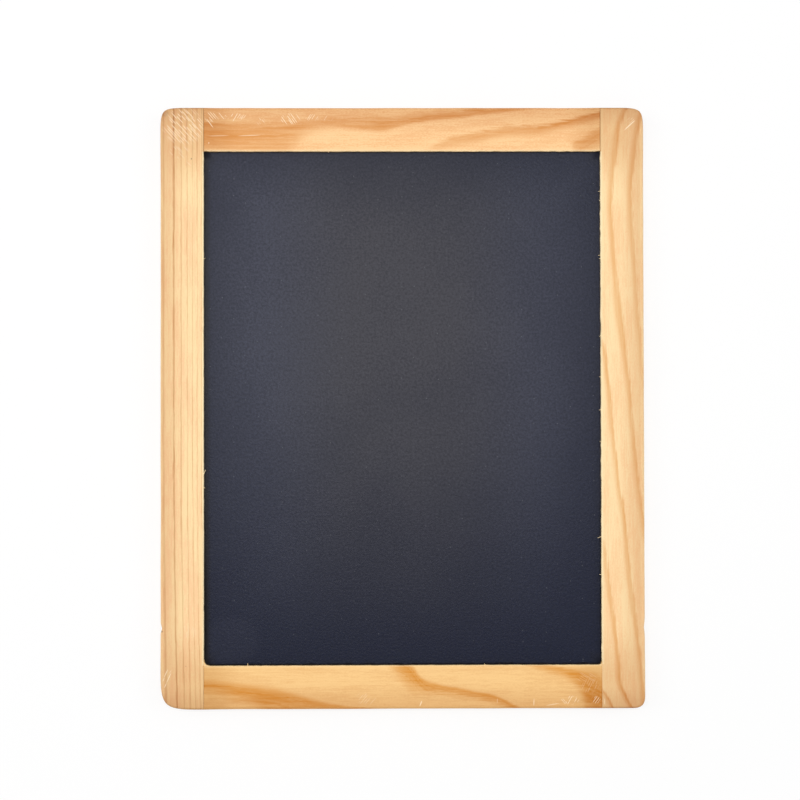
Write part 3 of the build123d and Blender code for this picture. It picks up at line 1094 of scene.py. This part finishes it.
def background_ray(tree):
    """1 for rays that show the background itself: from the camera, a reflection or through glass."""
    path = tree.nodes.new("ShaderNodeLightPath")
    shown = path.outputs["Is Camera Ray"]
    for name in ("Is Glossy Ray", "Is Transmission Ray"):
        highest = tree.nodes.new("ShaderNodeMath")
        highest.operation = "MAXIMUM"
        tree.links.new(shown, highest.inputs[0])
        tree.links.new(path.outputs[name], highest.inputs[1])
        shown = highest.outputs[0]
    return shown


def white_floor():
    """The plain white floor, which mostly lights itself where it is seen, and keeps a soft shadow."""
    bpy.ops.object.select_all(action="DESELECT")
    bpy.ops.mesh.primitive_plane_add(size=FLOOR_SIZE, location=(0, 0, 0))
    floor = bpy.context.object
    floor.name = "floor"
    nodes = Nodes("white_floor")
    nodes.put(nodes.shader, "Base Color", FLOOR_WHITE)
    nodes.put(nodes.shader, "Roughness", 1.0)
    nodes.put(nodes.shader, "Specular IOR Level", 0.0)
    glow = nodes.add("ShaderNodeEmission")
    share = nodes.math("MULTIPLY", background_ray(nodes.tree), FLOOR_GLOW)
    inputs = {0: share, 1: nodes.shader.outputs[0], 2: glow.outputs[0]}
    mixed = nodes.add("ShaderNodeMixShader", inputs)
    nodes.put(nodes.tree.nodes["Material Output"], "Surface", mixed.outputs[0])
    floor.data.materials.append(nodes.material)


def soft_light(name, place, target, width, height, power):
    lamp = bpy.data.lights.new(name, "AREA")
    lamp.shape = "RECTANGLE"
    lamp.size = width
    lamp.size_y = height
    lamp.energy = power
    lamp_object = bpy.data.objects.new(name, lamp)
    lamp_object.location = place
    aim = Vector(target) - Vector(place)
    lamp_object.rotation_euler = aim.to_track_quat("-Z", "Y").to_euler()
    bpy.context.collection.objects.link(lamp_object)


def studio():
    """Even white light from all round, a softbox above for the slate's sheen, and one each side."""
    world = bpy.data.worlds.new("studio_white")
    bpy.context.scene.world = world
    world.use_nodes = True
    tree = world.node_tree
    strength = tree.nodes.new("ShaderNodeMapRange")
    strength.inputs["To Min"].default_value = WORLD_LIGHT
    strength.inputs["To Max"].default_value = BACKGROUND_LIGHT
    tree.links.new(background_ray(tree), strength.inputs["Value"])
    tree.nodes["Background"].inputs["Color"].default_value = WHITE
    tree.links.new(strength.outputs["Result"], tree.nodes["Background"].inputs["Strength"])
    for softbox in SOFTBOXES:
        soft_light(*softbox)


def photo_camera():
    """Almost straight above the board, as it was photographed."""
    lens = bpy.data.cameras.new("photo_camera")
    lens.lens = LENS_LENGTH
    lens.sensor_width = SENSOR_WIDTH
    camera = bpy.data.objects.new("photo_camera", lens)
    camera.location = CAMERA_PLACE
    camera.rotation_euler = [math.radians(angle) for angle in CAMERA_TURN]
    bpy.context.collection.objects.link(camera)
    bpy.context.scene.camera = camera


def dress(piece, material):
    piece.data.materials.clear()
    piece.data.materials.append(material)


def finish_pine(piece, material):
    """A piece of the frame, with its finish, that moves with the board."""
    dress(piece, material)
    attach(piece, "root")


# A bar's finish goes on its plain form in the frame, on the worked one that replaces it, and on its fibres
for bar in GRAIN_SPACE:
    finish = pine(bar)
    dress(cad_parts[bar], finish)
    finish_pine(worked_bar(bar), finish)
    finish_pine(lip_fibres(bar), finish)
for side, size in CORNER_WEBS:
    finish_pine(corner_web(side, size), bpy.data.materials["pine_bottom_rail"])
dress(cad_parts["slate_panel"], honed_slate())
white_floor()
studio()
photo_camera()
bpy.context.scene.view_settings.view_transform = "Standard"
